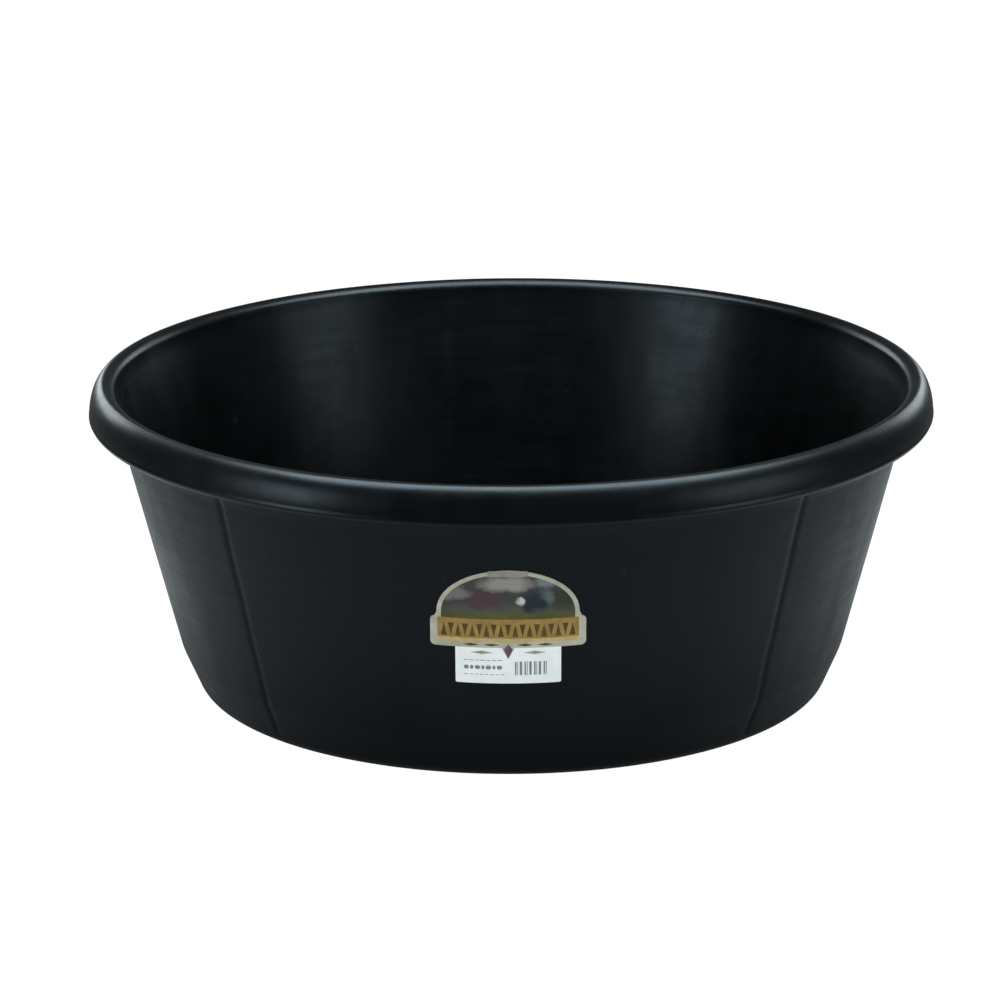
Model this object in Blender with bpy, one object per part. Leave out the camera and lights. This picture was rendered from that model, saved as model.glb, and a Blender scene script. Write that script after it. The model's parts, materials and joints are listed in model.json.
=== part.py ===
"""Round rubber tub for mixing mortar: one moulded shell with two printed labels on its front wall.

Units are metres and +Z is up. The origin is the centre of the base, on the ground, and the labels
face -Y. Run it with: blender --background --python part.py
"""

import math

import bmesh
import bpy

# Driving dimensions of the tub
RIM_RADIUS = 0.340  # to the widest line of the lip
HEIGHT = 0.2545
WALL = 0.007  # at the kink, low in the wall; it thins towards the lip
FLOOR = 0.008

# Outer wall: a steep cone that stands on a short band with more taper
KINK_RADIUS = 0.2702
KINK_HEIGHT = 0.039
WALL_TAPER = math.radians(14.35)  # from vertical
INNER_TAPER = math.radians(15.1)
BAND_TAPER = math.radians(23.4)
BASE_CORNER = 0.014  # radius between the band and the base
KINK_CORNER = 0.050

# Base: a flat ring to stand on, round a shallow recess
RECESS_RADIUS = 0.205
RECESS_DEPTH = 0.0015
RECESS_CHAMFER = 0.003
FLOOR_CORNER = 0.024  # radius between the floor and the wall, inside

# Lip: a thick rounded edge that is widest low down and overhangs the wall
CREST_RADIUS = 0.3275
WIDEST_HEIGHT = 0.2285
LIP_CORNER = 0.005
UNDER_LIP_CORNER = 0.004
UNDERSIDE_DROP = 0.002  # how far the underside falls towards the wall
CREST_INNER_DROP = 0.008  # how far below the crest the inner wall begins

# Parting lines: shallow grooves where the segments of the mould met
GROOVE_AZIMUTHS = (45, 135, 225, 315)  # degrees from +X
GROOVE_WIDTH = 0.006
GROOVE_DEPTH = 0.0008

SEGMENTS = 72
CORNER_STEPS = 4

# Labels: thin sheets on the front wall, measured along the wall from the lower edge of the banner
LABEL_HEIGHT = 0.1166  # of the banner's lower edge
LABEL_SHIFT = -0.003  # along the wall, from the middle of the front
SHEET = 0.0004
INFO_SHEET = 0.0003
STANDOFF = 0.0003  # clearance under a sheet
STRIP = 0.006  # width of one flat strip of a rolled sheet

BANNER_WIDTH = 0.118
BANNER_HEIGHT = 0.026
BANNER_NOTCH = 0.005  # how far the arch steps in from the banner's ends
ARCH_HEIGHT = 0.042
ARCH_SIDE = 0.004  # straight part of the arch's sides
BANNER_CORNER = 0.004
POINT_WIDTH = 0.010  # small pointed drop under the banner
POINT_HEIGHT = 0.010

INFO_WIDTH = 0.080
INFO_BOTTOM = -0.032
INFO_TOP = 0.003  # hidden under the banner
INFO_CORNER = 0.002
LIFT_RAMP = 0.004  # length over which the emblem rises above the info label's top edge
LIFT = INFO_SHEET + STANDOFF

RUBBER = ((0.016, 0.019, 0.020), 0.45)
PRINTED_FILM = ((0.36, 0.24, 0.09), 0.35)
WHITE_PAPER = ((0.75, 0.76, 0.77), 0.5)


# --- Outline of the turned shell ---------------------------------------------------------------


def outer_wall(height):
    """Radius of the outer cone at a height."""
    return KINK_RADIUS + (height - KINK_HEIGHT) * math.tan(WALL_TAPER)


def inner_wall(height):
    """Radius of the inner cone, which opens a little faster than the outer one."""
    return KINK_RADIUS - WALL / math.cos(WALL_TAPER) + (height - KINK_HEIGHT) * math.tan(INNER_TAPER)


def band(height, inset=0.0):
    """Radius of the lower band at a height, moved in by an inset across the wall."""
    return KINK_RADIUS + (height - KINK_HEIGHT) * math.tan(BAND_TAPER) - inset / math.cos(BAND_TAPER)


def arc(centre, radii, start, end, steps=CORNER_STEPS):
    """Points on an elliptical arc, from start to end degrees, both ends included."""
    points = []
    for step in range(steps + 1):
        angle = math.radians(start + (end - start) * step / steps)
        points.append((centre[0] + radii[0] * math.cos(angle), centre[1] + radii[1] * math.sin(angle)))
    return points


def rounded(before, corner, after, radius, steps=CORNER_STEPS):
    """Points that replace a corner between two straight lines with an arc."""
    first = math.atan2(before[1] - corner[1], before[0] - corner[0])
    last = math.atan2(after[1] - corner[1], after[0] - corner[0])
    opening = (last - first + math.pi) % math.tau - math.pi
    reach = radius / math.tan(abs(opening) / 2)
    middle = first + opening / 2
    centre_distance = radius / math.sin(abs(opening) / 2)
    centre = (
        corner[0] + centre_distance * math.cos(middle),
        corner[1] + centre_distance * math.sin(middle),
    )
    start = (corner[0] + reach * math.cos(first), corner[1] + reach * math.sin(first))
    begin = math.atan2(start[1] - centre[1], start[0] - centre[0])
    turn = math.copysign(math.pi - abs(opening), -opening)
    points = []
    for step in range(steps + 1):
        angle = begin + turn * step / steps
        points.append((centre[0] + radius * math.cos(angle), centre[1] + radius * math.sin(angle)))
    return points


def shell_outline():
    """(radius, height, grooved) points, from the middle of the base round the lip to the floor."""
    base_edge = (band(0), 0)
    kink = (KINK_RADIUS, KINK_HEIGHT)
    lip_bottom = WIDEST_HEIGHT - LIP_CORNER
    under_lip = (outer_wall(lip_bottom - UNDERSIDE_DROP), lip_bottom - UNDERSIDE_DROP)
    lip_edge = (RIM_RADIUS - LIP_CORNER, lip_bottom)
    inner_top = HEIGHT - CREST_INNER_DROP
    inner_kink = (inner_wall(KINK_HEIGHT), KINK_HEIGHT)
    floor_edge = (band(FLOOR, WALL), FLOOR)

    base = [
        (0, RECESS_DEPTH),
        (RECESS_RADIUS - RECESS_CHAMFER, RECESS_DEPTH),
        (RECESS_RADIUS, 0),
    ]
    base += rounded((0, 0), base_edge, kink, BASE_CORNER)
    wall = rounded(base_edge, kink, under_lip, KINK_CORNER)
    wall += rounded(kink, under_lip, lip_edge, UNDER_LIP_CORNER)[:1]
    lip = rounded(kink, under_lip, lip_edge, UNDER_LIP_CORNER)[1:]
    lip += arc((RIM_RADIUS - LIP_CORNER, WIDEST_HEIGHT), (LIP_CORNER, LIP_CORNER), -90, 0)
    lip += arc(
        (CREST_RADIUS, WIDEST_HEIGHT),
        (RIM_RADIUS - CREST_RADIUS, HEIGHT - WIDEST_HEIGHT),
        0,
        90,
        steps=6,
    )[1:]
    lip += arc(
        (CREST_RADIUS, inner_top),
        (CREST_RADIUS - inner_wall(inner_top), CREST_INNER_DROP),
        90,
        180,
    )[1:]
    inside = rounded((inner_wall(inner_top), inner_top), inner_kink, floor_edge, KINK_CORNER)
    inside += rounded(inner_kink, floor_edge, (0, FLOOR), FLOOR_CORNER)
    inside.append((0, FLOOR))

    outline = [(radius, height, False) for radius, height in base]
    outline += [(radius, height, True) for radius, height in wall]
    outline += [(radius, height, False) for radius, height in lip + inside]
    return outline


def column_azimuths():
    """Azimuths of the shell's columns in radians: evenly spaced ones, and two more at each groove."""
    side = math.degrees(GROOVE_WIDTH / 2 / KINK_RADIUS)
    degrees = {360 * index / SEGMENTS for index in range(SEGMENTS)}
    for groove in GROOVE_AZIMUTHS:
        degrees |= {groove - side, groove, groove + side}
    return [math.radians(value) for value in sorted(degrees)]


def groove_centre(azimuth):
    return any(math.isclose(azimuth, math.radians(groove)) for groove in GROOVE_AZIMUTHS)


def turned_mesh(name, outline):
    """One closed body turned round Z. The outline starts and ends on the axis."""
    shape = bmesh.new()
    azimuths = column_azimuths()
    rings = []
    for radius, height, grooved in outline:
        if radius == 0:
            rings.append([shape.verts.new((0, 0, height))] * len(azimuths))
            continue
        ring = []
        for azimuth in azimuths:
            reach = radius - (GROOVE_DEPTH if grooved and groove_centre(azimuth) else 0)
            ring.append(shape.verts.new((reach * math.cos(azimuth), reach * math.sin(azimuth), height)))
        rings.append(ring)
    for lower, upper in zip(rings, rings[1:]):
        for index in range(len(azimuths)):
            after = (index + 1) % len(azimuths)
            corners = (lower[index], lower[after], upper[after], upper[index])
            shape.faces.new(dict.fromkeys(corners))
    return finished_mesh(name, shape)


# --- Labels ------------------------------------------------------------------------------------


def on_wall(across, along, standoff):
    """Where a point of a flat sheet lies once the sheet is rolled onto the conical wall."""
    sine, cosine = math.sin(WALL_TAPER), math.cos(WALL_TAPER)
    to_apex = outer_wall(LABEL_HEIGHT) / sine
    slant = math.hypot(to_apex + along, across + LABEL_SHIFT)
    azimuth = math.atan2(across + LABEL_SHIFT, to_apex + along) / sine - math.pi / 2
    radius = slant * sine + standoff * cosine
    height = LABEL_HEIGHT + (slant - to_apex) * cosine - standoff * sine
    return radius * math.cos(azimuth), radius * math.sin(azimuth), height


def rectangle(left, right, bottom, top, corner):
    """A rectangle with round corners, anticlockwise."""
    points = []
    for across, along, start in (
        (right - corner, bottom + corner, -90),
        (right - corner, top - corner, 0),
        (left + corner, top - corner, 90),
        (left + corner, bottom + corner, 180),
    ):
        points += arc((across, along), (corner, corner), start, start + 90, steps=3)
    return points


def emblem_outline():
    """An arch on a wider banner, with a small point below, anticlockwise."""
    half = BANNER_WIDTH / 2
    arch = half - BANNER_NOTCH
    spring = BANNER_HEIGHT + ARCH_SIDE
    points = [(0, -POINT_HEIGHT), (POINT_WIDTH / 2, 0)]
    points += arc((half - BANNER_CORNER, BANNER_CORNER), (BANNER_CORNER, BANNER_CORNER), -90, 0, 3)
    points += arc(
        (half - BANNER_CORNER, BANNER_HEIGHT - BANNER_CORNER), (BANNER_CORNER, BANNER_CORNER), 0, 90, 3
    )
    points += arc((0, spring), (arch, ARCH_HEIGHT - ARCH_SIDE), 0, 180, 20)
    points += arc(
        (BANNER_CORNER - half, BANNER_HEIGHT - BANNER_CORNER), (BANNER_CORNER, BANNER_CORNER), 90, 180, 3
    )
    points += arc((BANNER_CORNER - half, BANNER_CORNER), (BANNER_CORNER, BANNER_CORNER), 180, 270, 3)
    points += [(-POINT_WIDTH / 2, 0)]
    return points


def emblem_standoff(along):
    """The emblem lies on the wall, and rises over the top edge of the info label."""
    rise = (INFO_TOP + LIFT_RAMP - along) / LIFT_RAMP
    return STANDOFF + LIFT * min(max(rise, 0), 1)


def flat_standoff(along):
    return STANDOFF


def sheet_mesh(name, outline, thickness, standoff, folds=()):
    """A closed thin sheet of this outline, cut into strips so that it can follow the wall."""
    flat = bmesh.new()
    flat.faces.new([flat.verts.new((across, along, 0)) for across, along in outline])
    reach = math.ceil(max(abs(across) for across, _ in outline) / STRIP)
    cuts = [((index * STRIP, 0, 0), (1, 0, 0)) for index in range(-reach, reach + 1)]
    cuts += [((0, along, 0), (0, 1, 0)) for along in folds]
    for point, normal in cuts:
        everything = flat.verts[:] + flat.edges[:] + flat.faces[:]
        bmesh.ops.bisect_plane(flat, geom=everything, dist=1e-6, plane_co=point, plane_no=normal)

    sheet = bmesh.new()
    backs, fronts = {}, {}
    for vert in flat.verts:
        across, along, _ = vert.co
        gap = standoff(along)
        backs[vert] = sheet.verts.new(on_wall(across, along, gap))
        fronts[vert] = sheet.verts.new(on_wall(across, along, gap + thickness))
    for face in flat.faces:
        sheet.faces.new([fronts[vert] for vert in face.verts])
        sheet.faces.new([backs[vert] for vert in reversed(face.verts)])
    for edge in flat.edges:
        if edge.is_boundary:
            first, last = edge.verts
            sheet.faces.new((fronts[first], fronts[last], backs[last], backs[first]))
    flat.free()
    return finished_mesh(name, sheet)


# --- Objects -----------------------------------------------------------------------------------


def finished_mesh(name, shape):
    """The mesh of a bmesh with its faces turned outwards and its round surfaces smooth."""
    bmesh.ops.recalc_face_normals(shape, faces=shape.faces[:])
    mesh = bpy.data.meshes.new(name)
    shape.to_mesh(mesh)
    shape.free()
    mesh.shade_smooth()
    mesh.set_sharp_from_angle(angle=math.radians(40))
    return mesh


def material(name, look):
    colour, roughness = look
    made = bpy.data.materials.new(name)
    made.use_nodes = True
    shader = made.node_tree.nodes["Principled BSDF"]
    shader.inputs["Base Color"].default_value = (*colour, 1)
    shader.inputs["Roughness"].default_value = roughness
    shader.inputs["Metallic"].default_value = 0
    return made


def add_object(mesh, look):
    mesh.materials.append(material(mesh.name, look))
    made = bpy.data.objects.new(mesh.name, mesh)
    bpy.context.scene.collection.objects.link(made)
    return made


def build_tub():
    return add_object(turned_mesh("tub", shell_outline()), RUBBER)


def build_info_label():
    outline = rectangle(-INFO_WIDTH / 2, INFO_WIDTH / 2, INFO_BOTTOM, INFO_TOP, INFO_CORNER)
    return add_object(sheet_mesh("info_label", outline, INFO_SHEET, flat_standoff), WHITE_PAPER)


def build_emblem_label():
    folds = (INFO_TOP, INFO_TOP + LIFT_RAMP, BANNER_HEIGHT)
    mesh = sheet_mesh("emblem_label", emblem_outline(), SHEET, emblem_standoff, folds)
    return add_object(mesh, PRINTED_FILM)


def main():
    for old in list(bpy.data.objects):
        bpy.data.objects.remove(old)
    build_tub()
    build_info_label()
    build_emblem_label()


main()
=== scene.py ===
"""Looks of the mortar mixing tub: a moulded black rubber shell and its printed labels.

Metres, +Z up, the labels face -Y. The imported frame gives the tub's radius, height and floor, and
every other size is a named value below.
"""

import json
import math

import bmesh
import bpy
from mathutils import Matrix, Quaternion, Vector, noise


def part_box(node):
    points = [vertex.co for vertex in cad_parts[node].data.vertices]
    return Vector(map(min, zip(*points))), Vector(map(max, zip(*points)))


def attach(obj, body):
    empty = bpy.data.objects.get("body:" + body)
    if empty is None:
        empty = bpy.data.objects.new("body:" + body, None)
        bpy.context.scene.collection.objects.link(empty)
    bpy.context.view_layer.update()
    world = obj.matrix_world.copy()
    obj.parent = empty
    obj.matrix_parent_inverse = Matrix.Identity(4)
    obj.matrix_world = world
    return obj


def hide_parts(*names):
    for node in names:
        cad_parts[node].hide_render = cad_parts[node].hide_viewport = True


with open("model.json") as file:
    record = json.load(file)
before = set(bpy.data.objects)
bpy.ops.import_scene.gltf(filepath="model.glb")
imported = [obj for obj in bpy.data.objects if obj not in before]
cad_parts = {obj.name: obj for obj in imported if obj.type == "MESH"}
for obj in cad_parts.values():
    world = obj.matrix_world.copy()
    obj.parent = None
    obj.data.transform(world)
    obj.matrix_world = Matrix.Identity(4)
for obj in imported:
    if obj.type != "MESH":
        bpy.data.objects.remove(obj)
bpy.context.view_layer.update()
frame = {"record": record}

TUB_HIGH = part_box("tub")[1]
MOUNTS = {mount["name"]: mount for mount in frame["record"]["mounts"]}

# Shell: radii from the axis, heights from the ground, and tapers from upright
RIM_RADIUS = TUB_HIGH.x
HEIGHT = TUB_HIGH.z
FLOOR = MOUNTS["inside_floor"]["pos_m"][2]
WALL = 0.007
KINK_RADIUS = 0.2702
KINK_HEIGHT = 0.039
WALL_TAPER = math.radians(14.35)
INNER_TAPER = math.radians(15.1)
BAND_TAPER = math.radians(23.4)
BASE_CORNER = 0.014
KINK_CORNER = 0.050
RECESS_RADIUS = 0.205
RECESS_DEPTH = 0.0015
RECESS_CHAMFER = 0.003
FLOOR_CORNER = 0.024
CREST_RADIUS = 0.3275
WIDEST_HEIGHT = 0.2285
LIP_CORNER = 0.005
UNDER_LIP_CORNER = 0.004
UNDERSIDE_DROP = 0.002
CREST_INNER_DROP = 0.008
INNER_TOP = HEIGHT - CREST_INNER_DROP

# Fine details of the moulding
FLASH = 0.0003  # trimmed edge round the widest line of the lip
FLASH_HALF_WIDTH = 0.0004
FLASH_BELOW = -6  # degrees at which the lip's arcs meet the flash
FLASH_ABOVE = 2
BASE_RINGS = (0.060, 0.125, 0.180)  # raised rings in the recess under the tub
RING_HALF_WIDTH = 0.0025
RING_RISE = 0.0008
FLOOR_RING = 0.150  # edge of the mould's insert in the floor
FLOOR_STEP = 0.0005
HOLD = 0.0008  # flat strip beside a step, which keeps its shading narrow

# Unevenness: how large it is, and the heights between which it sets in or stops
WALL_RIPPLE = 0.0005
RIPPLE_FOOT = (0.0, 0.06)
LIP_RIPPLE = 0.0003
LIP_FOOT = 0.2
GROOVE_AZIMUTHS = tuple(math.radians(value) for value in (45, 135, 225, 315))
GROOVE_SIGMA = 0.0022
GROOVE_DEPTH = 0.0012
GROOVE_WANDER = 0.0025
GROOVE_FOOT = (0.006, 0.020)
GROOVE_HEAD = (0.221, 0.214)

# Noise behind the unevenness: the tub's radius and a metre of height, counted in noise cells
RIPPLE_ROUND = 1.9
RIPPLE_CLIMB = 5
STREAK_ROUND = 6  # times the ripple's
STREAK_CLIMB = 9
STREAK_START = 7
STREAK_SHARE = 0.35
LIP_ROUND = 4
LIP_START = 2.5
GROOVE_CLIMB = 22
GROOVE_APART = 3.7  # between the noises of two grooves
GROOVE_START = 1.3

# How finely the shell is divided
COLUMNS = 360
GROOVE_COLUMNS = 12  # extra columns on each side of a groove
GROOVE_REACH = 0.008
CORNER_STEPS = 10
KINK_STEPS = 5
BAND_STEPS = 4
WALL_STEPS = 18
LIP_STEPS = 24
CREST_STEPS = 14
INNER_WALL_STEPS = 20
OUTER_FLOOR_STEPS = 4
INNER_FLOOR_STEPS = 5
SHELL_CREASE = math.radians(50)

# Regions of the shell, each with its own look
BASE, OUTSIDE, LIP, INSIDE = range(4)

# Labels: flat sheets rolled onto the wall. Flat sizes are across and along the wall.
LABEL_HEIGHT = 0.1166
LABEL_SHIFT = -0.003
BANNER_WIDTH = 0.118
BANNER_HEIGHT = 0.026
BANNER_NOTCH = 0.005
BANNER_CORNER = 0.004
ARCH_HEIGHT = 0.042
ARCH_SIDE = 0.004
POINT_WIDTH = 0.010
POINT_HEIGHT = 0.010
INFO_WIDTH = 0.080
INFO_BOTTOM = -0.032
INFO_TOP = 0.003
INFO_CORNER = 0.0015
INFO_SHEET = 0.0003
SHEET = 0.0003
STANDOFF = 0.0001
LIFT_RAMP = 0.004
INK = 0.00005  # rise of each printed layer
UV_SCALE = 10
CUTS_PER_METRE = 400  # a sheet is divided this finely before it is rolled
ARCH_STEPS = 48
BANNER_STEPS = 6
SHEET_CREASE = math.radians(40)


# --- Section of the shell ----------------------------------------------------------------------


def outer_wall(height):
    """Radius of the outside of the steep wall."""
    return KINK_RADIUS + (height - KINK_HEIGHT) * math.tan(WALL_TAPER)


def inner_wall(height):
    """Radius of the inside of the steep wall."""
    return KINK_RADIUS - WALL / math.cos(WALL_TAPER) + (height - KINK_HEIGHT) * math.tan(INNER_TAPER)


def band(height, inset=0.0):
    """Radius of the low band that leans out more, or of a face that lies inside it."""
    return KINK_RADIUS + (height - KINK_HEIGHT) * math.tan(BAND_TAPER) - inset / math.cos(BAND_TAPER)


def arc(centre, radii, start, end, steps=CORNER_STEPS):
    """Points on an elliptical arc, from start to end degrees, both ends included."""
    points = []
    for step in range(steps + 1):
        angle = math.radians(start + (end - start) * step / steps)
        points.append((centre[0] + radii[0] * math.cos(angle), centre[1] + radii[1] * math.sin(angle)))
    return points


def rounded(before, corner, after, radius, steps=CORNER_STEPS):
    """Points that replace a corner between two straight lines with an arc."""
    first = math.atan2(before[1] - corner[1], before[0] - corner[0])
    last = math.atan2(after[1] - corner[1], after[0] - corner[0])
    opening = (last - first + math.pi) % math.tau - math.pi
    reach = radius / math.tan(abs(opening) / 2)
    middle = first + opening / 2
    centre_distance = radius / math.sin(abs(opening) / 2)
    centre = (
        corner[0] + centre_distance * math.cos(middle),
        corner[1] + centre_distance * math.sin(middle),
    )
    start = (corner[0] + reach * math.cos(first), corner[1] + reach * math.sin(first))
    begin = math.atan2(start[1] - centre[1], start[0] - centre[0])
    turn = math.copysign(math.pi - abs(opening), -opening)
    points = []
    for step in range(steps + 1):
        angle = begin + turn * step / steps
        points.append((centre[0] + radius * math.cos(angle), centre[1] + radius * math.sin(angle)))
    return points


def run(start, end, steps):
    """Points between two ends of a straight stretch, without the ends."""
    points = []
    for step in range(1, steps):
        share = step / steps
        points.append((start[0] + (end[0] - start[0]) * share, start[1] + (end[1] - start[1]) * share))
    return points


def recess_section():
    """The recess under the base with its raised rings, from the middle outwards."""
    points = [(0, RECESS_DEPTH)]
    for ring in BASE_RINGS:
        points += [
            (ring - 2 * RING_HALF_WIDTH - HOLD, RECESS_DEPTH),
            (ring - 2 * RING_HALF_WIDTH, RECESS_DEPTH),
            (ring - RING_HALF_WIDTH, RECESS_DEPTH - RING_RISE),
            (ring + RING_HALF_WIDTH, RECESS_DEPTH - RING_RISE),
            (ring + 2 * RING_HALF_WIDTH, RECESS_DEPTH),
            (ring + 2 * RING_HALF_WIDTH + HOLD, RECESS_DEPTH),
        ]
    points += [
        (RECESS_RADIUS - RECESS_CHAMFER - HOLD, RECESS_DEPTH),
        (RECESS_RADIUS - RECESS_CHAMFER, RECESS_DEPTH),
        (RECESS_RADIUS, 0),
        (RECESS_RADIUS + HOLD, 0),
    ]
    return points


def lip_section(under_lip, kink):
    """Round the lip, from the wall under it to the end of its inner curve."""
    lip_edge = (RIM_RADIUS - FLASH - LIP_CORNER, WIDEST_HEIGHT - LIP_CORNER)
    outer_radii = (RIM_RADIUS - FLASH - CREST_RADIUS, HEIGHT - WIDEST_HEIGHT)
    inner_radii = (CREST_RADIUS - inner_wall(INNER_TOP), CREST_INNER_DROP)
    points = rounded(kink, under_lip, lip_edge, UNDER_LIP_CORNER)[1:]
    points += arc((lip_edge[0], WIDEST_HEIGHT), (LIP_CORNER, LIP_CORNER), -90, FLASH_BELOW)
    points += [
        (RIM_RADIUS, WIDEST_HEIGHT - FLASH_HALF_WIDTH),
        (RIM_RADIUS, WIDEST_HEIGHT + FLASH_HALF_WIDTH),
    ]
    points += arc((CREST_RADIUS, WIDEST_HEIGHT), outer_radii, FLASH_ABOVE, 90, LIP_STEPS)
    points += arc((CREST_RADIUS, INNER_TOP), inner_radii, 90, 180, CREST_STEPS)[1:]
    return points


def inside_section():
    """Down the inner wall and across the floor."""
    top = (inner_wall(INNER_TOP), INNER_TOP)
    kink = (inner_wall(KINK_HEIGHT), KINK_HEIGHT)
    floor_edge = (band(FLOOR, WALL), FLOOR)
    corner = rounded(top, kink, floor_edge, KINK_CORNER, KINK_STEPS)
    points = run(top, corner[0], INNER_WALL_STEPS) + corner
    points += rounded(kink, floor_edge, (0, FLOOR), FLOOR_CORNER)
    points.append((points[-1][0] - HOLD, FLOOR))
    points += run(points[-1], (FLOOR_RING + HOLD, FLOOR), OUTER_FLOOR_STEPS)
    points += [
        (FLOOR_RING + HOLD, FLOOR),
        (FLOOR_RING, FLOOR),
        (FLOOR_RING - FLOOR_STEP, FLOOR - FLOOR_STEP),
        (FLOOR_RING - FLOOR_STEP - HOLD, FLOOR - FLOOR_STEP),
    ]
    points += run(points[-1], (0, FLOOR - FLOOR_STEP), INNER_FLOOR_STEPS)
    points.append((0, FLOOR - FLOOR_STEP))
    return points


def shell_section():
    """(radius, height, region) points, from the middle of the base round the lip to the floor."""
    base_edge = (band(0), 0)
    kink = (KINK_RADIUS, KINK_HEIGHT)
    lip_bottom = WIDEST_HEIGHT - LIP_CORNER
    under_height = lip_bottom - UNDERSIDE_DROP
    under_lip = (outer_wall(under_height), under_height)
    lip = lip_section(under_lip, kink)
    corner = rounded((0, 0), base_edge, kink, BASE_CORNER)
    turn = rounded(base_edge, kink, under_lip, KINK_CORNER, KINK_STEPS)
    wall = corner + run(corner[-1], turn[0], BAND_STEPS) + turn + run(turn[-1], lip[0], WALL_STEPS)

    section = [(*point, BASE) for point in recess_section()]
    section += [(*point, OUTSIDE) for point in wall]
    section += [(*point, LIP) for point in lip]
    section += [(*point, INSIDE) for point in inside_section()]
    return section


# --- Unevenness of the moulding ----------------------------------------------------------------


def smooth_step(low, high, value):
    """0 at low and 1 at high, with a smooth turn at both."""
    share = min(max((value - low) / (high - low), 0), 1)
    return share * share * (3 - 2 * share)


def wall_ripple(azimuth, height):
    """Radial unevenness of the wall. It is 0 at the base and grows up the wall."""
    across, along = math.cos(azimuth) * RIPPLE_ROUND, math.sin(azimuth) * RIPPLE_ROUND
    place = Vector((across, along, height * RIPPLE_CLIMB))
    finer = Vector((place.x * STREAK_ROUND, place.y * STREAK_ROUND, height * STREAK_CLIMB + STREAK_START))
    ripple = noise.noise(place) + STREAK_SHARE * noise.noise(finer)
    return WALL_RIPPLE * smooth_step(*RIPPLE_FOOT, height) * ripple


def groove(azimuth, height, radius):
    """Depth of the parting grooves here. Each wanders a little on its way up."""
    depth = 0.0
    for index, centre in enumerate(GROOVE_AZIMUTHS):
        place = Vector((index * GROOVE_APART, GROOVE_START, height * GROOVE_CLIMB))
        wander = GROOVE_WANDER * noise.noise(place)
        distance = ((azimuth - centre + math.pi) % math.tau - math.pi) * radius - wander
        depth += GROOVE_DEPTH * math.exp(-0.5 * (distance / GROOVE_SIGMA) ** 2)
    fade = smooth_step(*GROOVE_FOOT, height) * smooth_step(*GROOVE_HEAD, height)
    return depth * fade


def uneven(radius, height, region, azimuth):
    """The section's point after the moulding's unevenness, at one azimuth."""
    on_floor = radius < RECESS_RADIUS and height < 2 * FLOOR
    if region == BASE or on_floor:
        return radius, height
    if region == LIP:
        place = Vector((math.cos(azimuth) * LIP_ROUND, math.sin(azimuth) * LIP_ROUND, LIP_START))
        swell = LIP_RIPPLE * (noise.noise(place) - 1) / 2
        return radius + swell, height + swell * smooth_step(LIP_FOOT, HEIGHT, height)
    shifted = radius + wall_ripple(azimuth, height)
    if region == OUTSIDE:
        shifted -= groove(azimuth, height, radius)
    return shifted, height


def column_azimuths():
    """Evenly spaced columns, with closer ones across each groove."""
    spacing = GROOVE_REACH / KINK_RADIUS
    values = set()
    for index in range(COLUMNS):
        azimuth = math.tau * index / COLUMNS
        if all(abs(azimuth - centre) > spacing for centre in GROOVE_AZIMUTHS):
            values.add(azimuth)
    for centre in GROOVE_AZIMUTHS:
        for index in range(-GROOVE_COLUMNS, GROOVE_COLUMNS + 1):
            values.add(centre + spacing * index / GROOVE_COLUMNS)
    return sorted(values)


def shell_rings(section, azimuths):
    """Every vertex of the shell, and the ring of vertices that each point of the section makes."""
    vertices, rings = [], []
    for radius, height, region in section:
        if radius == 0:
            rings.append([len(vertices)] * len(azimuths))
            vertices.append((0, 0, height))
            continue
        rings.append(list(range(len(vertices), len(vertices) + len(azimuths))))
        for azimuth in azimuths:
            reach, level = uneven(radius, height, region, azimuth)
            vertices.append((reach * math.cos(azimuth), reach * math.sin(azimuth), level))
    return vertices, rings


def shell_faces(section, rings):
    """The faces between neighbouring rings, and the region of each."""
    faces, regions = [], []
    for lower, upper, (_, _, region) in zip(rings, rings[1:], section[1:]):
        for column in range(len(lower)):
            after = (column + 1) % len(lower)
            corners = (lower[column], lower[after], upper[after], upper[column])
            faces.append(tuple(dict.fromkeys(corners)))  # a triangle at the axis
            regions.append(region)
    return faces, regions


def build_shell():
    """The whole tub as one closed mesh with a material for each region."""
    section = shell_section()
    vertices, rings = shell_rings(section, column_azimuths())
    faces, regions = shell_faces(section, rings)
    mesh = bpy.data.meshes.new("tub_shell")
    mesh.from_pydata(vertices, [], faces)
    for look in (
        rubber("rubber_base", roughness=0.55, grain=0.5, marks=0.2),
        rubber("rubber_outside", roughness=0.42, grain=0.35, marks=0.35),
        rubber("rubber_lip", roughness=0.34, grain=0.22, marks=0.15),
        rubber("rubber_inside", roughness=0.33, grain=0.25, marks=1.0, seamed=True),
    ):
        mesh.materials.append(look)
    mesh.polygons.foreach_set("material_index", regions)
    mesh.shade_smooth()
    mesh.set_sharp_from_angle(angle=SHELL_CREASE)
    shell = bpy.data.objects.new("tub_shell", mesh)
    bpy.context.scene.collection.objects.link(shell)
    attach(shell, "root")
    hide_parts("tub")


# --- Node helpers ------------------------------------------------------------------------------


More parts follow.
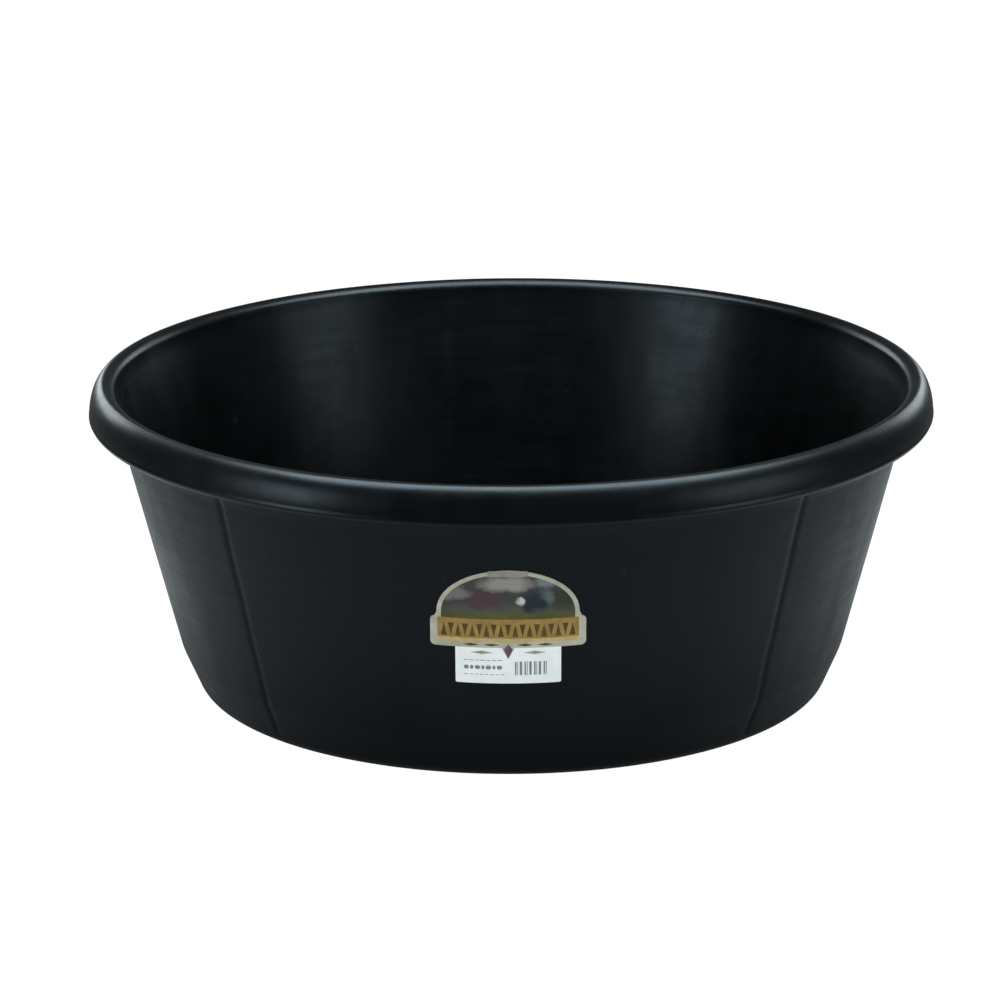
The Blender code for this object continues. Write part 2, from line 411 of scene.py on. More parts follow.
class Look:
    """A new material with its Principled shader, and short ways to add nodes to it."""

    def __init__(self, name):
        self.material = bpy.data.materials.new(name)
        self.material.use_nodes = True
        self.tree = self.material.node_tree
        self.shader = self.tree.nodes["Principled BSDF"]

    def node(self, kind, inputs=None, **settings):
        """A new node. Inputs are set or linked by name or number, and settings are its options."""
        made = self.tree.nodes.new(kind)
        for key, value in settings.items():
            setattr(made, key, value)
        for key, value in (inputs or {}).items():
            self.put(made, key, value)
        return made

    def put(self, node, key, value):
        """Set a socket to a value, or link another node's output to it."""
        socket = node.inputs[key]
        if isinstance(value, bpy.types.NodeSocket):
            self.tree.links.new(value, socket)
        else:
            socket.default_value = value

    def math(self, operation, first, second=0.0, clamp=False):
        made = self.node("ShaderNodeMath", {0: first, 1: second}, operation=operation)
        made.use_clamp = clamp
        return made.outputs[0]

    def times(self, first, second):
        return self.math("MULTIPLY", first, second)

    def vector(self, operation, first, second):
        inputs = {0: first, 1: second}
        return self.node("ShaderNodeVectorMath", inputs, operation=operation).outputs[0]

    def ramp(self, value, low, high, to_low=0.0, to_high=1.0):
        """The value moved from the range low to high to another range, and held inside that."""
        inputs = {"Value": value, "From Min": low, "From Max": high, "To Min": to_low, "To Max": to_high}
        return self.node("ShaderNodeMapRange", inputs).outputs[0]

    def mix(self, share, first, second):
        """A colour between two others. Sockets 6 and 7 are the node's two colours."""
        inputs = {"Factor": share, 6: first, 7: second}
        return self.node("ShaderNodeMix", inputs, data_type="RGBA").outputs[2]

    def noise(self, place, scale, detail=3.0, roughness=0.5):
        inputs = {"Vector": place, "Scale": scale, "Detail": detail, "Roughness": roughness}
        return self.node("ShaderNodeTexNoise", inputs).outputs["Fac"]

    def place(self, scale=(1, 1, 1), offset=(0, 0, 0)):
        coordinates = self.node("ShaderNodeTexCoord").outputs["Object"]
        inputs = {"Vector": coordinates, "Location": offset, "Scale": scale}
        return self.node("ShaderNodeMapping", inputs).outputs[0]

    def axes(self):
        """The place's own X, Y and Z."""
        return self.node("ShaderNodeSeparateXYZ", {0: self.place()}).outputs

    def bump(self, height, strength, distance, under=None):
        inputs = {"Height": height, "Strength": strength, "Distance": distance}
        if under is not None:
            inputs["Normal"] = under
        return self.node("ShaderNodeBump", inputs).outputs[0]


# --- Rubber ------------------------------------------------------------------------------------

RUBBER_DARK = (0.0009, 0.0011, 0.0012, 1)
RUBBER_LIGHT = (0.0026, 0.0032, 0.0035, 1)
# Pale colour of the dusting, scuffs and specks, and of the painted seam highlight inside
RUBBER_DUST_AND_HIGHLIGHT = (0.030, 0.036, 0.040, 1)
RUBBER_SPECULAR = 0.138
RUBBER_TINT = (0.80, 0.91, 1.0, 1)
MOTTLE_SHARE = 0.7
STREAKS_SHARE = 0.3
SMOOTHER = 0.06  # roughness lost in the dark of the mottling, and gained in its light
ROUGHER = 0.08
COMBED = 0.02  # roughness difference of the fine level streaks
SCUFF_HALF_WIDTH = 0.055  # in the noise's own values
SCUFF_STRENGTH = 0.13
DUST_AND_HIGHLIGHT_MOST = 0.8
DUST_AND_HIGHLIGHT_ROUGHNESS = 0.3
WAVE_LEAST = 0.0004  # bump heights
WAVE_MORE = 0.0006
PEBBLE = 0.00030
FINE_GRAIN = 0.00012

# The seam line is a painted highlight: pale colour where the mould seam's ridge would catch the light.
SEAM_ACROSS = -0.048
SEAM_HALF_WIDTH = 0.0045
SEAM_WANDER = 0.012
SEAM_BEHIND = (0.10, 0.15)
SEAM_FOOT = (0.100, 0.140)
SEAM_HIGHLIGHT_STRENGTH = 0.16


def scuffs(look):
    """Broad soft rub marks: the contour lines of a noise, where another noise allows."""
    field = look.noise(look.place(scale=(1, 1, 0.6)), scale=11.0, detail=5.0, roughness=0.68)
    distance = look.math("ABSOLUTE", look.math("SUBTRACT", field, 0.5))
    line = look.ramp(distance, 0.0, SCUFF_HALF_WIDTH, 1.0, 0.0)
    chance = look.noise(look.place(offset=(3, 5, 1)), scale=9.0, detail=4.0)
    return look.times(line, look.ramp(chance, 0.50, 0.75))


def painted_seam_highlight(look):
    """The faint pale line painted up the back of the inside, along the mould's joint: a painted highlight
    in place of the light that the seam's ridge catches.
    """
    axes = look.axes()
    wander = look.times(look.noise(look.place(), scale=14.0), SEAM_WANDER)
    offset = look.math("ADD", look.math("SUBTRACT", axes["X"], SEAM_ACROSS), wander)
    line = look.ramp(look.math("ABSOLUTE", offset), 0.0, SEAM_HALF_WIDTH, 1.0, 0.0)
    line = look.times(line, look.ramp(axes["Y"], *SEAM_BEHIND))
    line = look.times(line, look.ramp(axes["Z"], *SEAM_FOOT))
    broken = look.ramp(look.noise(look.place(), scale=45.0, detail=4.0), 0.35, 0.65)
    return look.times(line, broken)


def specks(look):
    """Small light specks left in the moulding, a few on each hand's breadth."""
    cells = look.node("ShaderNodeTexVoronoi", {"Vector": look.place(), "Scale": 60.0})
    dot = look.ramp(cells.outputs["Distance"], 0.05, 0.22, 1.0, 0.0)
    chosen = look.node("ShaderNodeSeparateColor", {0: cells.outputs["Color"]}).outputs[0]
    return look.times(dot, look.ramp(chosen, 0.95, 1.0))


def rubber_cloud(look):
    """How light the rubber is at each place: a broad mottling with upright streaks in it."""
    mottle = look.noise(look.place(), scale=7.0, detail=5.0, roughness=0.62)
    streaks = look.noise(look.place(scale=(1, 1, 0.10)), scale=38.0, detail=3.0)
    mottle = look.times(look.ramp(mottle, 0.35, 0.68), MOTTLE_SHARE)
    streaks = look.times(look.ramp(streaks, 0.40, 0.70), STREAKS_SHARE)
    return look.math("ADD", mottle, streaks)


def rubber_dust_and_highlight(look, marks, seamed):
    """How much pale dusting lies at each place, and, where seamed, the painted seam highlight."""
    marked = look.math("ADD", look.times(scuffs(look), SCUFF_STRENGTH), specks(look), clamp=True)
    if seamed:
        marked = look.math("ADD", marked, look.times(painted_seam_highlight(look), SEAM_HIGHLIGHT_STRENGTH), clamp=True)
    return look.times(marked, marks * DUST_AND_HIGHLIGHT_MOST)


def rubber_roughness(look, roughness, cloud, dust_and_highlight):
    """Rougher where the rubber is light or dusty or carries the painted seam highlight, with fine level
    streaks.
    """
    combing = look.noise(look.place(scale=(0.25, 0.25, 3.0)), scale=70.0, detail=3.0)
    combed = look.ramp(combing, 0.35, 0.65, -COMBED, COMBED)
    clouded = look.ramp(cloud, 0, 1, roughness - SMOOTHER, roughness + ROUGHER)
    rough = look.math("ADD", clouded, combed)
    return look.math("ADD", rough, look.times(dust_and_highlight, DUST_AND_HIGHLIGHT_ROUGHNESS), clamp=True)


def rubber_surface(look, grain, marks):
    """Bumps: soft waves, and a moulded grain of two sizes."""
    waves = look.noise(look.place(scale=(1, 1, 0.35)), scale=16.0, detail=2.0)
    pebbles = look.noise(look.place(), scale=240.0, detail=2.0, roughness=0.6)
    fine = look.noise(look.place(), scale=900.0, detail=2.0, roughness=0.7)
    normal = look.bump(waves, 1.0, WAVE_MORE * marks + WAVE_LEAST)
    normal = look.bump(pebbles, grain, PEBBLE, normal)
    return look.bump(fine, grain, FINE_GRAIN, normal)


def rubber(name, roughness, grain, marks, seamed=False):
    """Moulded black rubber: mottled, grained, and with as many marks as its side gets in use. A seamed
    side also gets a painted seam highlight.
    """
    look = Look(name)
    cloud = rubber_cloud(look)
    dust_and_highlight = rubber_dust_and_highlight(look, marks, seamed)
    colour = look.mix(dust_and_highlight, look.mix(cloud, RUBBER_DARK, RUBBER_LIGHT), RUBBER_DUST_AND_HIGHLIGHT)
    look.put(look.shader, "Base Color", colour)
    look.put(look.shader, "Roughness", rubber_roughness(look, roughness, cloud, dust_and_highlight))
    look.put(look.shader, "Normal", rubber_surface(look, grain, marks))
    look.put(look.shader, "Specular IOR Level", RUBBER_SPECULAR)
    look.put(look.shader, "Specular Tint", RUBBER_TINT)
    return look.material


# --- Printed sheets ----------------------------------------------------------------------------

PRINT_SPECULAR = 0.12
PRINT_ROUGHER = 0.1  # the second tone against the first
FIBRE = 0.00004  # bump of the printed face
EMBLEM_INKS = {  # two tones, and how closely they change places
    "cream": ((0.52, 0.48, 0.39), (0.38, 0.35, 0.26), 60.0),
    "gold": ((0.37, 0.235, 0.072), (0.26, 0.165, 0.045), 90.0),
    "pale_gold": ((0.56, 0.42, 0.18), (0.46, 0.34, 0.13), 120.0),
    "brown": ((0.075, 0.046, 0.013), (0.12, 0.075, 0.020), 120.0),
    "olive": ((0.11, 0.095, 0.030), (0.075, 0.068, 0.022), 80.0),
    "plum": ((0.12, 0.06, 0.08), (0.20, 0.12, 0.14), 120.0),
    "beige": ((0.33, 0.29, 0.25), (0.26, 0.23, 0.20), 90.0),
}
INFO_INKS = {
    "paper": ((0.94, 0.93, 0.90), (0.88, 0.87, 0.83), 70.0),
    "grey": ((0.16, 0.18, 0.18), (0.26, 0.29, 0.29), 200.0),
    "moss": ((0.30, 0.29, 0.18), (0.42, 0.41, 0.28), 120.0),
}
EMBLEM_ROUGHNESS = 0.45
INFO_ROUGHNESS = 0.6

PICTURE_ROUGHNESS = 0.42
PICTURE_CLOUD = 90.0
PICTURE_DRIFT = (0.018, 0.012, 0)
PICTURE_GROUND = (0.055, 0.050, 0.048, 1)
PATCH_EDGE = (0.60, 1.30)  # a patch fades between these shares of its radii
PICTURE_PATCHES = (  # centre and radii on the label, colour
    ((0.000, 0.030), (0.060, 0.0080), (0.075, 0.082, 0.045)),
    ((-0.020, 0.0427), (0.014, 0.0075), (0.075, 0.040, 0.048)),
    ((-0.039, 0.0470), (0.010, 0.0050), (0.170, 0.145, 0.142)),
    ((0.019, 0.0405), (0.010, 0.0090), (0.018, 0.026, 0.034)),
    ((0.042, 0.0423), (0.010, 0.0090), (0.036, 0.041, 0.022)),
    ((0.030, 0.0458), (0.006, 0.0060), (0.085, 0.112, 0.112)),
    ((0.031, 0.0580), (0.010, 0.0050), (0.170, 0.185, 0.195)),
    ((-0.002, 0.0560), (0.019, 0.0065), (0.280, 0.250, 0.215)),
    ((0.009, 0.0405), (0.004, 0.0035), (0.520, 0.520, 0.520)),
)

# The emblem's print, from below
LEAF_ALONG = 0.0026
LEAF_ACROSS = (-0.0280, -0.0125, 0.0125, 0.0280)
LEAF_SIZE = (0.0065, 0.0012)  # half width and half height
DROP_HALF_WIDTH = 0.0035  # plum drop on the emblem's point
DROP_MARGIN = 0.0005
DROP_WIDEST = -0.0015
DROP_TOP = 0.0035
SILL_MARGIN = 0.0065
SILL_LOW = 0.0048
SILL_CORNER = 0.0004
PANEL_MARGIN = 0.0055
PANEL_LOW = 0.0080
PANEL_CORNER = 0.0010
TOOTH_COUNT = 9  # on each side of the middle one
TOOTH_PITCH = 0.0054
TOOTH_HALF = 0.0023
TOOTH_LOW = 0.0095
TOOTH_HIGH = 0.0205
STRIP_LOW = BANNER_HEIGHT - 0.001
STRIP_HIGH = BANNER_HEIGHT + 0.004
STRIP_CORNER = 0.0004
BORDER = 0.0034  # cream edge round the picture
CAP_HALF_WIDTH = 0.0155
CAP_LOW = 0.0325  # above the arch's spring
CAP_HIGH = 0.0375
CAP_CORNER = 0.0020

# The info label's print
DASH_ROWS = (  # place along the wall, height, and the longest dash
    (-0.0115, 0.0006, 0.0042),
    (-0.0178, 0.0034, 0.0040),
    (-0.0242, 0.0005, 0.0036),
)
DASH_LEFT = -0.0335
DASH_RIGHT = -0.0060
DASH_GAP = 0.0011
DASH_SHORTEST = 0.55  # share of the row's longest dash
DASH_TURN = 1.7  # radians from one dash's length to the next
BARS_LEFT = 0.0050
BARS_RIGHT = 0.0300
BARS_LOW = -0.0245
BARS_HIGH = -0.0125
BAR_CORNER = 0.0001
BAR_WIDTHS = (0.0012, 0.0006, 0.0018)
INFO_LEAF_ALONG = -0.0045
INFO_LEAF_ACROSS = (-0.0200, 0.0200)
INFO_LEAF_SIZE = (0.0085, 0.0016)


def on_wall(across, along, standoff):
    """Where a point of a flat sheet lies once the sheet is rolled onto the uneven wall."""
    sine, cosine = math.sin(WALL_TAPER), math.cos(WALL_TAPER)
    to_apex = outer_wall(LABEL_HEIGHT) / sine
    slant = math.hypot(to_apex + along, across + LABEL_SHIFT)
    azimuth = math.atan2(across + LABEL_SHIFT, to_apex + along) / sine - math.pi / 2
    height = LABEL_HEIGHT + (slant - to_apex) * cosine - standoff * sine
    radius = slant * sine + standoff * cosine + wall_ripple(azimuth, height)
    return radius * math.cos(azimuth), radius * math.sin(azimuth), height


def emblem_standoff(along):
    """The emblem lies on the wall, and rises over the top edge of the info label."""
    rise = (INFO_TOP + LIFT_RAMP - along) / LIFT_RAMP
    return STANDOFF + (INFO_SHEET + STANDOFF) * min(max(rise, 0), 1)


def info_standoff(along):
    """The info label lies on the wall all the way up."""
    return STANDOFF


def rectangle(left, right, bottom, top, corner, steps=5):
    """A rectangle with round corners, anticlockwise."""
    points = []
    for across, along, start in (
        (right - corner, bottom + corner, -90),
        (right - corner, top - corner, 0),
        (left + corner, top - corner, 90),
        (left + corner, bottom + corner, 180),
    ):
        points += arc((across, along), (corner, corner), start, start + 90, steps)
    return points


def lozenge(across, along, half_width, half_height):
    """An upright diamond round this place, anticlockwise."""
    return [
        (across, along - half_height),
        (across + half_width, along),
        (across, along + half_height),
        (across - half_width, along),
    ]


def arch_outline(half, bottom, spring, rise):
    """A straight-sided arch on a flat foot, anticlockwise."""
    return [(-half, bottom), (half, bottom)] + arc((0, spring), (half, rise), 0, 180, ARCH_STEPS)


def emblem_outline():
    """An arch on a wider banner, with a small point below, anticlockwise."""
    half = BANNER_WIDTH / 2
    arch = half - BANNER_NOTCH
    radii = (BANNER_CORNER, BANNER_CORNER)
    spring = BANNER_HEIGHT + ARCH_SIDE
    right, left = half - BANNER_CORNER, BANNER_CORNER - half
    low, high = BANNER_CORNER, BANNER_HEIGHT - BANNER_CORNER
    points = [(0, -POINT_HEIGHT), (POINT_WIDTH / 2, 0)]
    points += arc((right, low), radii, -90, 0, BANNER_STEPS)
    points += arc((right, high), radii, 0, 80, BANNER_STEPS)
    points += arc((0, spring), (arch, ARCH_HEIGHT - ARCH_SIDE), 0, 180, ARCH_STEPS)
    points += arc((left, high), radii, 100, 180, BANNER_STEPS)
    points += arc((left, low), radii, 180, 270, BANNER_STEPS)
    points += [(-POINT_WIDTH / 2, 0)]
    return points


def cut_places(values):
    """Even places between the least and the greatest of these values."""
    first = math.floor(min(values) * CUTS_PER_METRE) + 1
    last = math.ceil(max(values) * CUTS_PER_METRE)
    return [step / CUTS_PER_METRE for step in range(first, last)]


def flat_sheet(outlines):
    """The outlines as flat faces, cut up so that they can follow the round wall."""
    flat = bmesh.new()
    for outline in outlines:
        flat.faces.new([flat.verts.new((across, along, 0)) for across, along in outline])
    points = [point for outline in outlines for point in outline]
    cuts = [((place, 0, 0), (1, 0, 0)) for place in cut_places([across for across, along in points])]
    cuts += [((0, place, 0), (0, 1, 0)) for place in cut_places([along for across, along in points])]
    for point, normal in cuts:
        everything = flat.verts[:] + flat.edges[:] + flat.faces[:]
        bmesh.ops.bisect_plane(flat, geom=everything, dist=1e-6, plane_co=point, plane_no=normal)
    return flat


def rolled_sheet(flat, base, thickness, standoff):
    """The flat faces as a closed sheet on the wall, with the flat places as its UV map."""
    sheet = bmesh.new()
    layer = sheet.loops.layers.uv.new("print")
    backs, fronts = {}, {}
    for vert in flat.verts:
        gap = standoff(vert.co.y) + base
        backs[vert] = sheet.verts.new(on_wall(vert.co.x, vert.co.y, gap))
        fronts[vert] = sheet.verts.new(on_wall(vert.co.x, vert.co.y, gap + thickness))
    for face in flat.faces:
        front = sheet.faces.new([fronts[vert] for vert in face.verts])
        for loop, vert in zip(front.loops, face.verts):
            loop[layer].uv = (vert.co.x * UV_SCALE, vert.co.y * UV_SCALE)
        sheet.faces.new([backs[vert] for vert in reversed(face.verts)])
    for edge in flat.edges:
        if edge.is_boundary:
            first, last = edge.verts
            sheet.faces.new((fronts[first], fronts[last], backs[last], backs[first]))
    bmesh.ops.recalc_face_normals(sheet, faces=sheet.faces[:])
    return sheet


def sheet_object(name, outlines, base, thickness, standoff, look):
    """Thin closed sheets with these outlines, rolled onto the wall as one piece."""
    flat = flat_sheet(outlines)
    sheet = rolled_sheet(flat, base, thickness, standoff)
    flat.free()
    mesh = bpy.data.meshes.new(name)
    sheet.to_mesh(mesh)
    sheet.free()
    mesh.shade_smooth()
    mesh.set_sharp_from_angle(angle=SHEET_CREASE)
    mesh.materials.append(look)
    made = bpy.data.objects.new(name, mesh)
    bpy.context.scene.collection.objects.link(made)
    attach(made, "root")
    return made


def printed(name, tones, scale, roughness):
    """Ink that varies softly between two tones."""
    look = Look(name)
    first, second = tones
    tone = look.ramp(look.noise(look.place(), scale, detail=4.0, roughness=0.6), 0.36, 0.64)
    fibre = look.noise(look.place(), scale=1500.0, detail=2.0)
    look.put(look.shader, "Base Color", look.mix(tone, (*first, 1), (*second, 1)))
    look.put(look.shader, "Roughness", look.ramp(tone, 0, 1, roughness, roughness + PRINT_ROUGHER))
    look.put(look.shader, "Normal", look.bump(fibre, 0.3, FIBRE))
    look.put(look.shader, "Specular IOR Level", PRINT_SPECULAR)
    return look.material


def inks(prefix, tones, roughness):
    """A printed material for each ink, by its name."""
    made = {}
    for name, (first, second, scale) in tones.items():
        made[name] = printed(prefix + name, (first, second), scale, roughness)
    return made


def patch(look, place, centre, radii):
    """1 inside an ellipse of the print, fading to 0 round its edge."""
    offset = look.vector("SUBTRACT", place, (*centre, 0))
    scaled = look.vector("MULTIPLY", offset, (1 / radii[0], 1 / radii[1], 1))
    reach = look.node("ShaderNodeVectorMath", {0: scaled}, operation="LENGTH").outputs["Value"]
    return look.ramp(reach, *PATCH_EDGE, 1.0, 0.0)


def picture_look():
    """A soft abstract dusk: pale bands high up, plum on the left, dark blue on the right."""
    look = Look("print_picture")
    uv = look.node("ShaderNodeUVMap", uv_map="print").outputs[0]
    flat = look.vector("MULTIPLY", uv, (1 / UV_SCALE,) * 3)
    inputs = {"Vector": flat, "Scale": PICTURE_CLOUD, "Detail": 3.0}
    cloud = look.node("ShaderNodeTexNoise", inputs).outputs["Color"]
    centred = look.vector("SUBTRACT", cloud, (0.5, 0.5, 0.5))
    drift = look.vector("MULTIPLY", centred, PICTURE_DRIFT)
    place = look.vector("ADD", flat, drift)
    colour = PICTURE_GROUND
    for centre, radii, tone in PICTURE_PATCHES:
        colour = look.mix(patch(look, place, centre, radii), colour, (*tone, 1))
    look.put(look.shader, "Base Color", colour)
    look.put(look.shader, "Roughness", PICTURE_ROUGHNESS)
    look.put(look.shader, "Specular IOR Level", PRINT_SPECULAR)
    return look.material


def banner_marks():
    """A plain dog-tooth border: narrow wedges that point up and down in turn."""
    outlines = []
    for index in range(-TOOTH_COUNT, TOOTH_COUNT + 1):
        across = index * TOOTH_PITCH
        foot, tip = (TOOTH_LOW, TOOTH_HIGH) if index % 2 else (TOOTH_HIGH, TOOTH_LOW)
        wedge = [(across - TOOTH_HALF, foot), (across + TOOTH_HALF, foot), (across, tip)]
        outlines.append(wedge if index % 2 else wedge[::-1])
    return outlines


def emblem_print():
    """(name, outlines, level, ink) of each printed shape. The picture isn't in one ink."""
    half = BANNER_WIDTH / 2
    spring = BANNER_HEIGHT + ARCH_SIDE
    inside = half - BANNER_NOTCH - BORDER
    sill = half - SILL_MARGIN
    panel = half - PANEL_MARGIN
    drop = [
        (0, DROP_MARGIN - POINT_HEIGHT),
        (DROP_HALF_WIDTH, DROP_WIDEST),
        (0, DROP_TOP),
        (-DROP_HALF_WIDTH, DROP_WIDEST),
    ]
    cap = rectangle(-CAP_HALF_WIDTH, CAP_HALF_WIDTH, spring + CAP_LOW, spring + CAP_HIGH, CAP_CORNER)
    return (
        ("picture", [arch_outline(inside, STRIP_HIGH, spring, ARCH_HEIGHT - ARCH_SIDE - BORDER)], 0, None),
        ("strip", [rectangle(-inside, inside, STRIP_LOW, STRIP_HIGH, STRIP_CORNER)], 0, "olive"),
        ("panel", [rectangle(-panel, panel, PANEL_LOW, STRIP_LOW, PANEL_CORNER)], 0, "gold"),
        ("sill", [rectangle(-sill, sill, SILL_LOW, PANEL_LOW, SILL_CORNER)], 0, "pale_gold"),
        ("marks", banner_marks(), INK, "brown"),
        ("cap", [cap], INK, "beige"),
        ("point", [drop], 0, "plum"),
        ("leaves", [lozenge(across, LEAF_ALONG, *LEAF_SIZE) for across in LEAF_ACROSS], 0, "olive"),
    )


def build_emblem():
    """The arched film label with its printed shapes. The marks and the cap lie over other ink."""
    looks = inks("print_", EMBLEM_INKS, EMBLEM_ROUGHNESS)
    outline = [emblem_outline()]
    emblem = sheet_object("emblem_label", outline, 0, SHEET, emblem_standoff, looks["cream"])
    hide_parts("emblem_label")
    for name, outlines, level, ink in emblem_print():
        look = looks[ink] if ink else picture_look()
        base = SHEET + level
        sheet_object("emblem_" + name, outlines, base, INK, emblem_standoff, look)


def info_dashes():
    """Rows of short plain dashes, as on any stock label."""
    outlines = []
    for row, (along, tall, wide) in enumerate(DASH_ROWS):
        across = DASH_LEFT
        index = 0
        low, high = along - tall / 2, along + tall / 2
        while across < DASH_RIGHT:
            longer = (1 - DASH_SHORTEST) * math.sin(DASH_TURN * index + row) ** 2
            width = wide * (DASH_SHORTEST + longer)
            outlines.append(rectangle(across, across + width, low, high, tall / 4, 1))
            across += width + DASH_GAP
            index += 1
    return outlines


def info_bars():
    """Upright bars of three widths in a repeating order."""
    outlines = []
    across = BARS_LEFT
    index = 0
    while across < BARS_RIGHT:
        width = BAR_WIDTHS[index % 3]
        outlines.append(rectangle(across, across + width, BARS_LOW, BARS_HIGH, BAR_CORNER, 1))
        across += width + BAR_WIDTHS[(index * 2 + 1) % 3]
        index += 1
    return outlines


def build_info():
    """The small paper label with its printed shapes."""
    looks = inks("info_", INFO_INKS, INFO_ROUGHNESS)
    outline = [rectangle(-INFO_WIDTH / 2, INFO_WIDTH / 2, INFO_BOTTOM, INFO_TOP, INFO_CORNER)]
    info = sheet_object("info_label", outline, 0, INFO_SHEET, info_standoff, looks["paper"])
    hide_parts("info_label")
    leaves = [lozenge(across, INFO_LEAF_ALONG, *INFO_LEAF_SIZE) for across in INFO_LEAF_ACROSS]
    for name, outlines, ink in (
        ("dashes", info_dashes(), "grey"),
        ("bars", info_bars(), "grey"),
        ("leaves", leaves, "moss"),
    ):
        sheet_object("info_" + name, outlines, INFO_SHEET, INK, info_standoff, looks[ink])


# --- Stage, light and camera -------------------------------------------------------------------

TABLE_RADIUS = 0.95
TABLE_LEVEL = -0.0005
TABLE_STEPS = 96
ACRYLIC = (0.10, 0.10, 0.10, 1)
SHADE_LEVEL = -0.0003
SHADE_INNER = 0.235
SHADE_OUTER = 0.420
SHADE_DARKEST = 0.15
FADE_INNER = 0.60
FADE_DARKEST = 0.25
STUDIO_TINT = (0.86, 0.95, 1.0)
STUDIO_STRENGTH = 0.17
BACKDROP_STRENGTH = 1.05
ELEVATION = math.radians(16.6)
DISTANCE = 10.773 * RIM_RADIUS
TARGET_HEIGHT = 0.370 * RIM_RADIUS
LENS = 162.0
SENSOR_WIDTH = 36.0
AIM_RIGHT = -0.0277 * RIM_RADIUS
AIM_UP = 0.0618 * RIM_RADIUS
ROLL = math.radians(0.29)


def acrylic(name, glow):
    """Matt white acrylic that is lit from inside, in this colour."""
    look = Look(name)
    look.put(look.shader, "Base Color", ACRYLIC)
    look.put(look.shader, "Roughness", 1.0)
    look.put(look.shader, "Specular IOR Level", 0.0)
    look.put(look.shader, "Emission Color", (*glow, 1))
    look.put(look.shader, "Emission Strength", 1.0)
    return look


def add_table():
    """A round table top of lit white acrylic, so that the ground is even and pale."""
    shape = bmesh.new()
    bmesh.ops.create_circle(shape, cap_ends=True, radius=TABLE_RADIUS, segments=TABLE_STEPS)
    mesh = bpy.data.meshes.new("table_top")
    shape.to_mesh(mesh)
    shape.free()
    mesh.materials.append(acrylic("table_acrylic", (1, 1, 1)).material)
    table = bpy.data.objects.new("table_top", mesh)
    table.location.z = TABLE_LEVEL
    bpy.context.scene.collection.objects.link(table)


def shade_look():
    """The table's glow, which is dim beside the tub and fades far out."""
    look = acrylic("table_shade", STUDIO_TINT)
    axes = look.axes()
    squares = [look.times(axes[axis], axes[axis]) for axis in "XY"]
    radius = look.math("SQRT", look.math("ADD", *squares))
    near = look.ramp(radius, SHADE_INNER, SHADE_OUTER, SHADE_DARKEST, 1.0)
    far = look.ramp(radius, FADE_INNER, TABLE_RADIUS, 1.0, FADE_DARKEST)
    look.put(look.shader, "Emission Strength", look.times(near, far))
    return look.material


def add_ground_shade():
    """The tub's soft contact shade on the table. The camera doesn't see it directly."""
    vertices, faces = [], []
    for radius in (SHADE_INNER, TABLE_RADIUS):
        for step in range(TABLE_STEPS):
            azimuth = math.tau * step / TABLE_STEPS
            vertices.append((radius * math.cos(azimuth), radius * math.sin(azimuth), 0))
    for step in range(TABLE_STEPS):
        after = (step + 1) % TABLE_STEPS
        faces.append((step, TABLE_STEPS + step, TABLE_STEPS + after, after))
    mesh = bpy.data.meshes.new("ground_shade")
    mesh.from_pydata(vertices, [], faces)
    mesh.materials.append(shade_look())
    shade = bpy.data.objects.new("ground_shade", mesh)
    shade.location.z = SHADE_LEVEL
    shade.visible_camera = False
    bpy.context.scene.collection.objects.link(shade)


def add_world():
    """White behind everything, and a dim studio for the light that the tub gets."""
    world = bpy.data.worlds.new("studio")
    world.use_nodes = True
    nodes, links = world.node_tree.nodes, world.node_tree.links
    dim = nodes["Background"]
    dim.inputs["Color"].default_value = (*STUDIO_TINT, 1)
    dim.inputs["Strength"].default_value = STUDIO_STRENGTH
    white = nodes.new("ShaderNodeBackground")
    white.inputs["Color"].default_value = (1, 1, 1, 1)
    white.inputs["Strength"].default_value = BACKDROP_STRENGTH
    path = nodes.new("ShaderNodeLightPath")
    choice = nodes.new("ShaderNodeMixShader")
    links.new(path.outputs["Is Camera Ray"], choice.inputs[0])
    links.new(dim.outputs[0], choice.inputs[1])
    links.new(white.outputs[0], choice.inputs[2])
    links.new(choice.outputs[0], nodes["World Output"].inputs["Surface"])
    bpy.context.scene.world = world


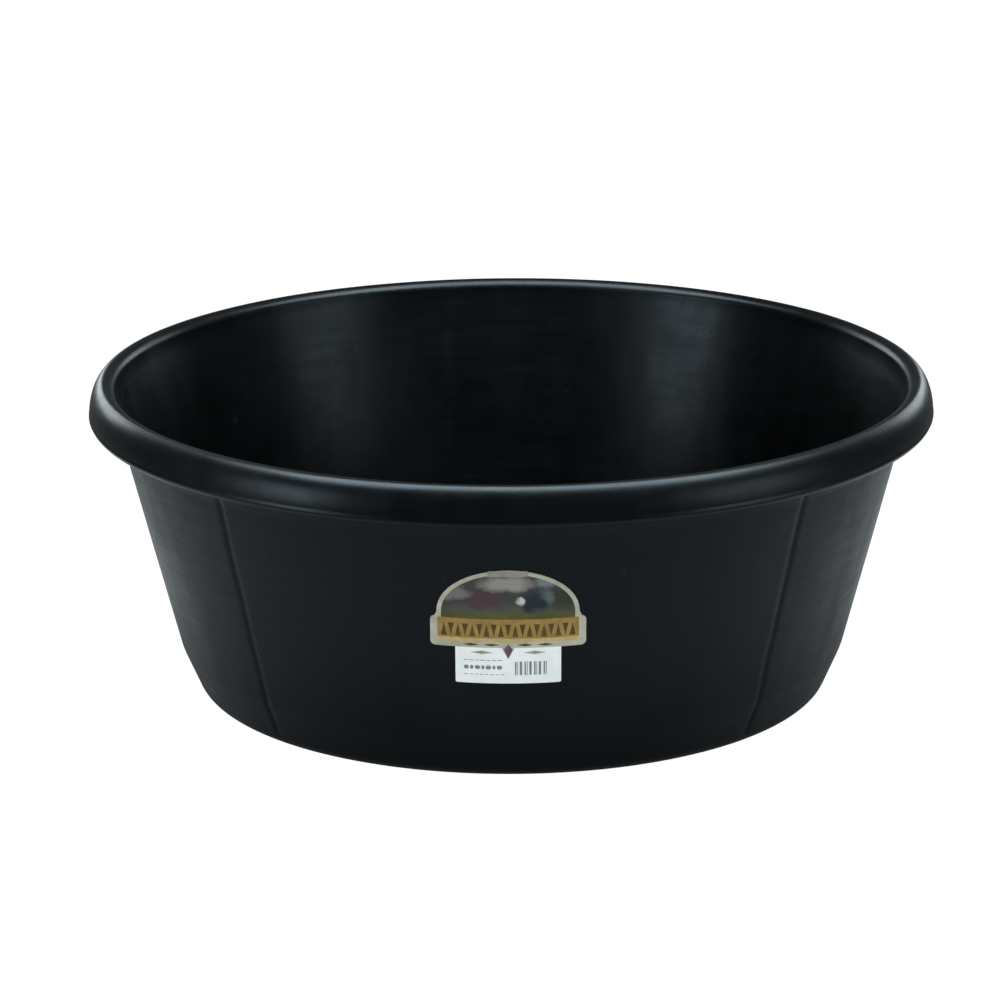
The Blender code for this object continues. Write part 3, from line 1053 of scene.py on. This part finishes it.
def add_softbox(name, place, size, radiance, target=(0, 0, HEIGHT), fill=False):
    """A rectangular light of this radiance: a fill, or else one that shows in reflections only."""
    lamp = bpy.data.lights.new(name, "AREA")
    lamp.shape = "RECTANGLE"
    lamp.size, lamp.size_y = size
    lamp.energy = radiance * math.pi * size[0] * size[1]
    lamp.color = STUDIO_TINT
    made = bpy.data.objects.new(name, lamp)
    made.location = place
    made.rotation_euler = (Vector(target) - Vector(place)).to_track_quat("-Z", "Y").to_euler()
    made.visible_diffuse = fill
    made.visible_glossy = not fill
    bpy.context.scene.collection.objects.link(made)


def add_lights():
    """A wide box overhead, one on each side in front and behind, and a low fill in front."""
    add_softbox("overhead", place=(0, -0.22, 2.4), size=(3.8, 1.7), radiance=20.0, target=(0, -0.22, 0))
    add_softbox("left_box", place=(-2.2, -1.42, 0.56), size=(0.95, 1.0), radiance=9.2)
    add_softbox("right_box", place=(2.25, -1.25, 0.56), size=(1.20, 1.0), radiance=5.2)
    add_softbox("left_back", place=(-1.49, 2.13, 0.85), size=(1.3, 0.9), radiance=6.0)
    add_softbox("right_back", place=(1.49, 2.13, 0.85), size=(1.3, 0.9), radiance=4.5)
    low_front = (0, -0.27, 0.12)
    place, size = (0, -2.6, 0.35), (2.0, 0.6)
    add_softbox("front_fill", place, size, radiance=6.5, target=low_front, fill=True)


def add_camera():
    """A long lens that looks down a little at the front of the tub."""
    camera = bpy.data.cameras.new("camera")
    camera.lens = LENS
    camera.sensor_width = SENSOR_WIDTH
    made = bpy.data.objects.new("camera", camera)
    target = Vector((0, 0, TARGET_HEIGHT))
    back = Vector((0, -math.cos(ELEVATION), math.sin(ELEVATION)))
    made.location = target + back * DISTANCE
    rise = Vector((0, math.sin(ELEVATION), math.cos(ELEVATION)))
    aim = target + Vector((AIM_RIGHT, 0, 0)) + rise * AIM_UP
    look = (aim - made.location).to_track_quat("-Z", "Y")
    made.rotation_euler = (look @ Quaternion((0, 0, 1), -ROLL)).to_euler()
    bpy.context.scene.collection.objects.link(made)
    bpy.context.scene.camera = made


def set_view():
    view = bpy.context.scene.view_settings
    view.view_transform = "Standard"
    view.look = "None"
    view.exposure = 0.0
    view.gamma = 1.0


build_shell()
build_info()
build_emblem()
add_table()
add_ground_shade()
add_world()
add_lights()
add_camera()
set_view()
bpy.context.view_layer.update()
